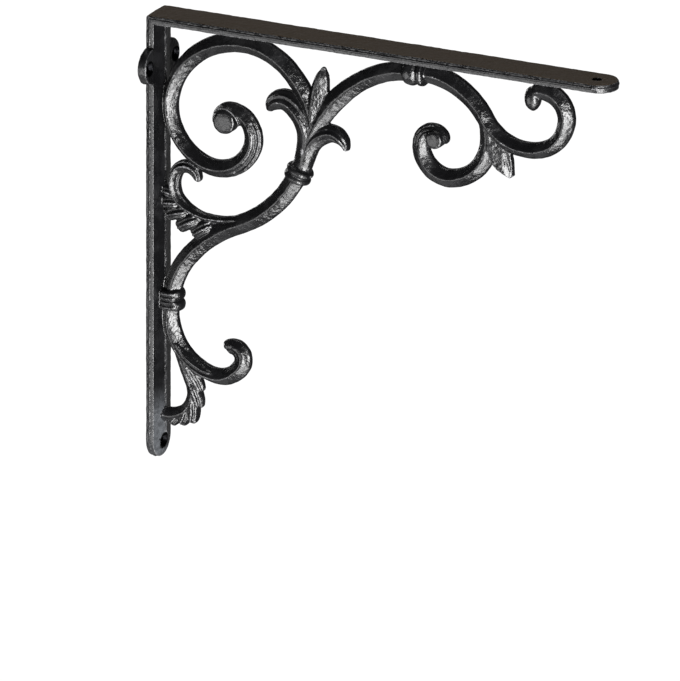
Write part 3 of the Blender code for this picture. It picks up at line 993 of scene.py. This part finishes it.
def curvature(mesh: bpy.types.Mesh, rounds: int) -> Array:
    """How sharply a mesh bends outward at each point, per millimetre.

    Along an edge it is the change of normal over the change of place, both taken along the edge.
    A point takes the mean of its edges, and then of itself and its neighbours for some rounds.

    Args:
        mesh: the mesh.
        rounds: rounds of averaging.

    Returns:
        The bend at each point, positive where the surface is convex.
    """
    points, normals = point_arrays(mesh)
    ends = np.empty(len(mesh.edges) * 2, np.int32)
    mesh.edges.foreach_get("vertices", ends)
    a, b = ends.reshape(-1, 2).T
    gap = points[b] - points[a]
    bend = np.sum((normals[b] - normals[a]) * gap, axis=1) / np.sum(gap * gap, axis=1)
    count = np.bincount(ends, minlength=len(points))
    value = (np.bincount(a, bend, len(points)) + np.bincount(b, bend, len(points))) / count
    for _ in range(rounds):
        beside = np.bincount(a, value[b], len(points)) + np.bincount(b, value[a], len(points))
        value = (value + beside / count) / 2
    return value


@dataclass(frozen=True)
class Casting:
    """The whole bracket fused into one iron casting."""

    straps: Straps = Straps()
    scrolls: Scrolls = Scrolls()
    spray: Spray = Spray()
    acanthus: Acanthus = Acanthus()
    trims: Trims = Trims()
    voxel: float = 0.35
    swells: tuple[Pair, ...] = ((7.0, 0.10), (2.2, 0.11))
    most_triangles: int = 192000
    edge_rounds: int = 3
    spared: float = 1.2

    def shells(self) -> list[Shell]:
        """Everything that is cast on to the straps."""
        return self.scrolls.shells() + self.spray.shells() + self.acanthus.shells() + self.trims.shells()

    def fused(self) -> bpy.types.Mesh:
        """Melt straps and shells together with small fillets.

        Returns:
            One mesh of small even faces.
        """
        work = bmesh.new()
        work.from_mesh(self.straps.mesh())
        work.from_mesh(outward(mesh_of("shells", self.shells())))
        mesh = bpy.data.meshes.new("blank")
        work.to_mesh(mesh)
        work.free()
        blank = linked("blank", mesh)
        remesh = blank.modifiers.new("melt", "REMESH")
        remesh.mode = "VOXEL"
        remesh.voxel_size = self.voxel * MM
        fused = evaluated(blank)
        bpy.data.objects.remove(blank)
        return fused

    def roughen(self, mesh: bpy.types.Mesh) -> None:
        """Give the skin its cast swells: points move along their normals by summed lattice noise."""
        points, normals = point_arrays(mesh)
        height = sum(
            size * lattice_noise(points, cell, seed) for seed, (cell, size) in enumerate(self.swells)
        )
        move_points(mesh, (points + normals * height[:, None]) * MM)

    def trim(self, mesh: bpy.types.Mesh) -> None:
        """Hold every point inside the solid's box, which keeps the wall and shelf faces flat."""
        points, _ = point_arrays(mesh)
        move_points(mesh, np.clip(points * MM, np.array(CAD_BOX[0]), np.array(CAD_BOX[1])))

    def mark_highlit_edges(self, mesh: bpy.types.Mesh) -> None:
        """Mark the convex bends, which the enamel shows as rubbed edges that also carry a painted
        highlight.

        The wall strap's long edges below the ears are left unmarked, so no painted highlight shows there.

        Args:
            mesh: the mesh to mark.
        """
        bend = curvature(mesh, self.edge_rounds)
        x, y, z = (point_arrays(mesh)[0] - SHELF_RISE * UP).T
        straps = self.straps
        beside = np.abs(y) > straps.width / 2 - self.spared
        spared = beside & (x < straps.ridge) & (z < -straps.ear_drop - straps.ear_radius)
        # The edge mark drives rubbed wear and a painted highlight on convex bends.
        mark(mesh, "edge", np.where(spared, 0.0, bend))

    def mark_hole_shade(self, mesh: bpy.types.Mesh) -> None:
        """Mark the insides of the screw holes, which the enamel paints dark as painted shade."""
        points, _ = point_arrays(mesh)
        mark(mesh, "hollow", self.straps.hollow(points - SHELF_RISE * UP))

    def build(self) -> bpy.types.Object:
        """Fuse, mark, roughen and thin the casting.

        Returns:
            The finished piece.
        """
        mesh = self.fused()
        self.mark_highlit_edges(mesh)
        self.roughen(mesh)
        self.trim(mesh)
        rough = linked("rough", mesh)
        thin = rough.modifiers.new("thin", "DECIMATE")
        thin.ratio = min(1.0, self.most_triangles / (2 * len(mesh.polygons)))
        final = evaluated(rough)
        bpy.data.objects.remove(rough)
        self.trim(final)
        self.mark_hole_shade(final)
        final.name = "bracket_casting"
        final.materials.clear()
        final.shade_smooth()
        return linked("bracket_casting", final)


@dataclass(frozen=True)
class Wire:
    """A shader socket that takes part in Python sums."""

    sheet: "NodeSheet"
    socket: bpy.types.NodeSocket

    def __add__(self, other: "Wire | float") -> "Wire":
        """Sum."""
        return self.sheet.maths("ADD", self, other)

    __radd__ = __add__

    def __mul__(self, other: "Wire | float") -> "Wire":
        """Product."""
        return self.sheet.maths("MULTIPLY", self, other)

    __rmul__ = __mul__

    def __sub__(self, other: "Wire | float") -> "Wire":
        """Difference."""
        return self.sheet.maths("SUBTRACT", self, other)

    def __rsub__(self, other: "Wire | float") -> "Wire":
        """Difference from a number."""
        return self.sheet.maths("SUBTRACT", other, self)


class NodeSheet:
    """A material's node tree, written one node at a time."""

    def __init__(self, name: str) -> None:
        """Start a material that has only its Principled shader."""
        self.material = bpy.data.materials.new(name)
        self.material.use_nodes = True
        self.tree = self.material.node_tree
        self.shader = self.tree.nodes["Principled BSDF"]

    def feed(self, node: bpy.types.Node, inputs: dict) -> None:
        """Set a node's sockets to values, or link wires to them."""
        for key, value in inputs.items():
            if isinstance(value, Wire):
                self.tree.links.new(value.socket, node.inputs[key])
            else:
                node.inputs[key].default_value = value

    def node(self, kind: str, settings: dict, inputs: dict, output: int | str = 0) -> Wire:
        """Add a node.

        Args:
            kind: Blender's name of the node type.
            settings: properties set first.
            inputs: values or wires by socket name or index.
            output: which output the wire leaves from.

        Returns:
            The wire that leaves the node.
        """
        node = self.tree.nodes.new(kind)
        for key, value in settings.items():
            setattr(node, key, value)
        self.feed(node, inputs)
        return Wire(self, node.outputs[output])

    def maths(self, operation: str, first: Wire | float, second: Wire | float) -> Wire:
        """One Math node."""
        return self.node("ShaderNodeMath", {"operation": operation}, {0: first, 1: second})

    def noise(self, where: Wire, scale: float, detail: float = 2.0, roughness: float = 0.5) -> Wire:
        """Noise from 0 to 1 over the given place."""
        inputs = {"Vector": where, "Scale": scale, "Detail": detail, "Roughness": roughness}
        return self.node("ShaderNodeTexNoise", {}, inputs, "Fac")

    def step(self, value: Wire, low: float, high: float) -> Wire:
        """0 below low, 1 above high and a smooth blend between them."""
        inputs = {"Value": value, "From Min": low, "From Max": high}
        return self.node("ShaderNodeMapRange", {"interpolation_type": "SMOOTHSTEP"}, inputs)

    def mix(self, share: Wire, first: Colour | Wire, second: Colour | Wire) -> Wire:
        """Blend of two colours."""
        return self.node("ShaderNodeMix", {"data_type": "RGBA"}, {0: share, 6: first, 7: second}, 2)

    def along(self, vector: Wire, axis: str) -> Wire:
        """A vector's part along X, Y or Z."""
        return self.node("ShaderNodeSeparateXYZ", {}, {0: vector}, axis)

    def marked(self, name: str) -> Wire:
        """A point attribute of the mesh."""
        return self.node("ShaderNodeAttribute", {"attribute_name": name}, {}, "Fac")


@dataclass(frozen=True)
class Enamel:
    """Gloss black enamel over cast iron: brown and dull on the shelf face, and grey at the foot as part
    dust and part painted sheen.
    """

    black: Colour = (0.0030, 0.0030, 0.0034, 1.0)
    worn: Colour = (0.0065, 0.0065, 0.0072, 1.0)
    brown: Colour = (0.075, 0.044, 0.016, 1.0)
    # Light grey of rubbed edges, which also serves as a painted highlight along ridges and rims.
    rubbed_and_highlit: Colour = (0.16, 0.16, 0.165, 1.0)
    # Grey of the foot's front: part dust, part painted sheen standing in for a reflection of light.
    foot_dust_and_sheen: Colour = (0.070, 0.074, 0.080, 1.0)
    gloss: float = 0.20
    patch_dulling: float = 0.12
    speck_dulling: float = 0.08
    dull: float = 0.55
    ior: float = 1.52
    patch_scale: float = 90.0
    patch_from: Pair = (0.42, 0.68)
    speck_scale: float = 1100.0
    speck_from: Pair = (0.38, 0.62)
    peel_scale: float = 400.0
    peel_roughness: float = 0.55
    peel_height: float = 0.00050
    highlight_edge_from: Pair = (0.35, 0.95)
    top_height: Pair = (0.0258, 0.0264)
    top_facing: Pair = (0.80, 0.95)
    foot_height: Pair = (-0.190, -0.170)
    foot_facing: Pair = (0.75, 0.95)
    foot_elsewhere: float = 0.2
    foot_turned: Pair = (0.05, 0.18)
    foot_turned_kept: float = 0.1
    foot_strap: Pair = (0.0070, 0.0080)
    foot_peel: Pair = (0.35, 0.65)
    foot_least: float = 0.55

    def foot(self, sheet: NodeSheet, place: Wire, normal: Wire, peel: Wire) -> Wire:
        """Share of grey on the wall strap's foot, which is part dust and part painted sheen.

        It is the product of five shares: low down, facing the room or else foot_elsewhere, not
        turned to the far side or else foot_turned_kept, on the strap itself, and a little uneven
        with the orange peel.

        Args:
            sheet: the node tree.
            place: object coordinates.
            normal: the surface's normal.
            peel: the orange peel's noise.

        Returns:
            The share.
        """
        low = 1.0 - sheet.step(sheet.along(place, "Z"), *self.foot_height)
        facing = sheet.step(sheet.along(normal, "X"), *self.foot_facing)
        turned = sheet.step(sheet.along(normal, "Y"), *self.foot_turned)
        strap = 1.0 - sheet.step(sheet.along(place, "X"), *self.foot_strap)
        share = low * (self.foot_elsewhere + (1.0 - self.foot_elsewhere) * facing)
        share = share * (1.0 - (1.0 - self.foot_turned_kept) * turned) * strap
        return share * (self.foot_least + (1.0 - self.foot_least) * sheet.step(peel, *self.foot_peel))

    def material(self) -> bpy.types.Material:
        """Write the material.

        Gloss falls where a slow noise is high and on the shelf face, which is where the height
        is near the top and the normal points up. Edges are rubbed where the edge attribute is
        high, broken up by noise, and this lighter grey also paints a highlight on them. The screw
        holes' insides are painted black and hardly reflect, as painted shade.

        Returns:
            The material.
        """
        sheet = NodeSheet("black_enamel")
        place = sheet.node("ShaderNodeTexCoord", {}, {}, "Object")
        normal = sheet.node("ShaderNodeNewGeometry", {}, {}, "Normal")
        patchy = sheet.step(sheet.noise(place, self.patch_scale, 3.0), *self.patch_from)
        speck = sheet.noise(place, self.speck_scale)
        peel = sheet.noise(place, self.peel_scale, 3.0, self.peel_roughness)
        hollow = sheet.marked("hollow")
        top = sheet.step(sheet.along(place, "Z"), *self.top_height)
        top = top * sheet.step(sheet.along(normal, "Z"), *self.top_facing)
        # Painted highlight with wear: lighter grey on convex edges, standing in for light glinting on
        # rounded ridges.
        rubbed_and_highlit = sheet.step(sheet.marked("edge"), *self.highlight_edge_from) * sheet.step(speck, *self.speck_from)
        colour = sheet.mix(patchy, self.black, self.worn)
        # Painted sheen with dust: grey on the room-facing front of the foot.
        colour = sheet.mix(self.foot(sheet, place, normal, peel), colour, self.foot_dust_and_sheen)
        colour = sheet.mix(rubbed_and_highlit, colour, self.rubbed_and_highlit)
        colour = sheet.mix(top, colour, self.brown)
        # Painted shade: the screw holes' insides turn black, where the real holes are dark from shade.
        colour = sheet.mix(hollow, colour, self.black)
        rough = self.gloss + self.patch_dulling * patchy + self.speck_dulling * speck
        rough = rough + top * (self.dull - rough)
        relief = {"Height": peel * self.peel_height, "Distance": 1.0, "Strength": 1.0}
        bump = sheet.node("ShaderNodeBump", {}, relief, "Normal")
        # Metallic from the hole mark keeps the painted shade in the holes from reflecting.
        surface = {"Base Color": colour, "Metallic": hollow, "Roughness": rough, "Normal": bump}
        sheet.feed(sheet.shader, surface | {"IOR": self.ior})
        return sheet.material


@dataclass(frozen=True)
class Softbox:
    """A rectangular lamp that faces the bracket and stays out of the camera's view."""

    name: str
    place: Triple
    size: Pair
    power: float

    def build(self, target: Vector) -> None:
        """Set the lamp up at its place, turned to the target."""
        lamp = bpy.data.lights.new(self.name, "AREA")
        lamp.shape = "RECTANGLE"
        lamp.size, lamp.size_y = self.size
        lamp.energy = self.power
        obj = linked(self.name, lamp)
        obj.location = self.place
        obj.rotation_euler = (target - Vector(self.place)).to_track_quat("-Z", "Y").to_euler()
        obj.visible_camera = False


@dataclass(frozen=True)
class Studio:
    """White floor, grey surroundings, softboxes and the camera at the photograph's angle."""

    floor_drop: float = -1.2
    floor_half: float = 9.0
    white_seen: float = 1.05
    floor_glow: float = 0.05
    surround: float = 0.045
    azimuth: float = 26.7
    elevation: float = 18.13
    span: float = 344.1
    sight_along: float = 93.8
    sight_up: float = -141.7
    distance: float = 1.2
    lamps_aim: Triple = (0.10, 0.0, -0.09)
    softboxes: tuple[Softbox, ...] = (
        Softbox("key_right", (0.89, -0.86, -0.34), (0.50, 1.05), 44.0),
        Softbox("key_low", (0.55, -0.55, -1.00), (0.55, 0.40), 10.0),
        Softbox("front_low", (-0.40, -1.03, -0.48), (0.85, 0.75), 7.4),
        Softbox("rim_left", (-1.05, 0.72, 0.10), (0.35, 0.90), 4.0),
        Softbox("back_high", (-0.45, 1.15, 0.36), (0.9, 0.35), 0.36),
        Softbox("back_low", (0.15, 1.20, -0.45), (0.6, 0.6), 0.1),
        Softbox("overhead", (0.00, 0.45, 1.30), (0.70, 0.25), 3.2),
        Softbox("under", (-0.35, -0.15, -1.05), (1.2, 1.1), 2.0),
    )

    def seen_white(self, tree: bpy.types.NodeTree, kind: str, glow: float) -> bpy.types.NodeSocket:
        """Blend of two lights in a node tree: white to the eye and dimmer to the bracket.

        Args:
            tree: the node tree.
            kind: node type of the lights.
            glow: strength towards the bracket.

        Returns:
            The socket that carries the blend.
        """
        mix = tree.nodes.new("ShaderNodeMixShader")
        path = tree.nodes.new("ShaderNodeLightPath")
        tree.links.new(path.outputs["Is Camera Ray"], mix.inputs[0])
        for place, strength in ((1, glow), (2, self.white_seen)):
            light = tree.nodes.new(kind)
            light.inputs["Color"].default_value = (1.0, 1.0, 1.0, 1.0)
            light.inputs["Strength"].default_value = strength
            tree.links.new(light.outputs[0], mix.inputs[place])
        return mix.outputs[0]

    def floor(self) -> None:
        """A plain white floor far below the bracket."""
        half, drop = self.floor_half, self.floor_drop
        corners = [(-half, -half, drop), (half, -half, drop), (half, half, drop), (-half, half, drop)]
        mesh = bpy.data.meshes.new("studio_floor")
        mesh.from_pydata(corners, [], [(0, 1, 2, 3)])
        white = bpy.data.materials.new("floor_white")
        white.use_nodes = True
        lit = self.seen_white(white.node_tree, "ShaderNodeEmission", self.floor_glow)
        white.node_tree.links.new(lit, white.node_tree.nodes["Material Output"].inputs["Surface"])
        mesh.materials.append(white)
        floor = linked("studio_floor", mesh)

    def world(self) -> None:
        """White to the camera's eye, dim grey to everything else."""
        world = bpy.data.worlds.new("studio")
        world.use_nodes = True
        bpy.context.scene.world = world
        lit = self.seen_white(world.node_tree, "ShaderNodeBackground", self.surround)
        world.node_tree.links.new(lit, world.node_tree.nodes["World Output"].inputs["Surface"])

    def camera(self) -> None:
        """Aim a parallel camera at the point that sat in the middle of the photograph."""
        a, e = math.radians(self.azimuth), math.radians(self.elevation)
        right = Vector((math.cos(a), math.sin(a), 0.0))
        up = Vector((-math.sin(a) * math.sin(e), math.cos(a) * math.sin(e), math.cos(e)))
        back = Vector((math.sin(a) * math.cos(e), -math.cos(a) * math.cos(e), math.sin(e)))
        target = (right * self.sight_along + up * self.sight_up) * MM
        data = bpy.data.cameras.new("camera")
        data.type = "ORTHO"
        data.ortho_scale = self.span * MM
        camera = linked("camera", data)
        camera.location = target + back * self.distance
        camera.rotation_mode = "QUATERNION"
        camera.rotation_quaternion = (-back).to_track_quat("-Z", "Y")
        bpy.context.scene.camera = camera
        bpy.context.scene.view_settings.view_transform = "Standard"

    def build(self) -> None:
        """Set up floor, surroundings, lamps and camera."""
        self.floor()
        self.world()
        target = Vector(self.lamps_aim)
        for softbox in self.softboxes:
            softbox.build(target)
            LOG.info("lamp %s", softbox.name)
        self.camera()


def main() -> None:
    """Build the casting, dress it and light it."""
    logging.basicConfig(level=logging.INFO, format="%(name)s: %(message)s")
    piece = Casting().build()
    piece.data.materials.append(Enamel().material())
    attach(piece, "root")
    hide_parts("bracket")
    LOG.info("piece %s with %d faces", piece.name, len(piece.data.polygons))
    Studio().build()


if __name__ == "__main__":
    main()
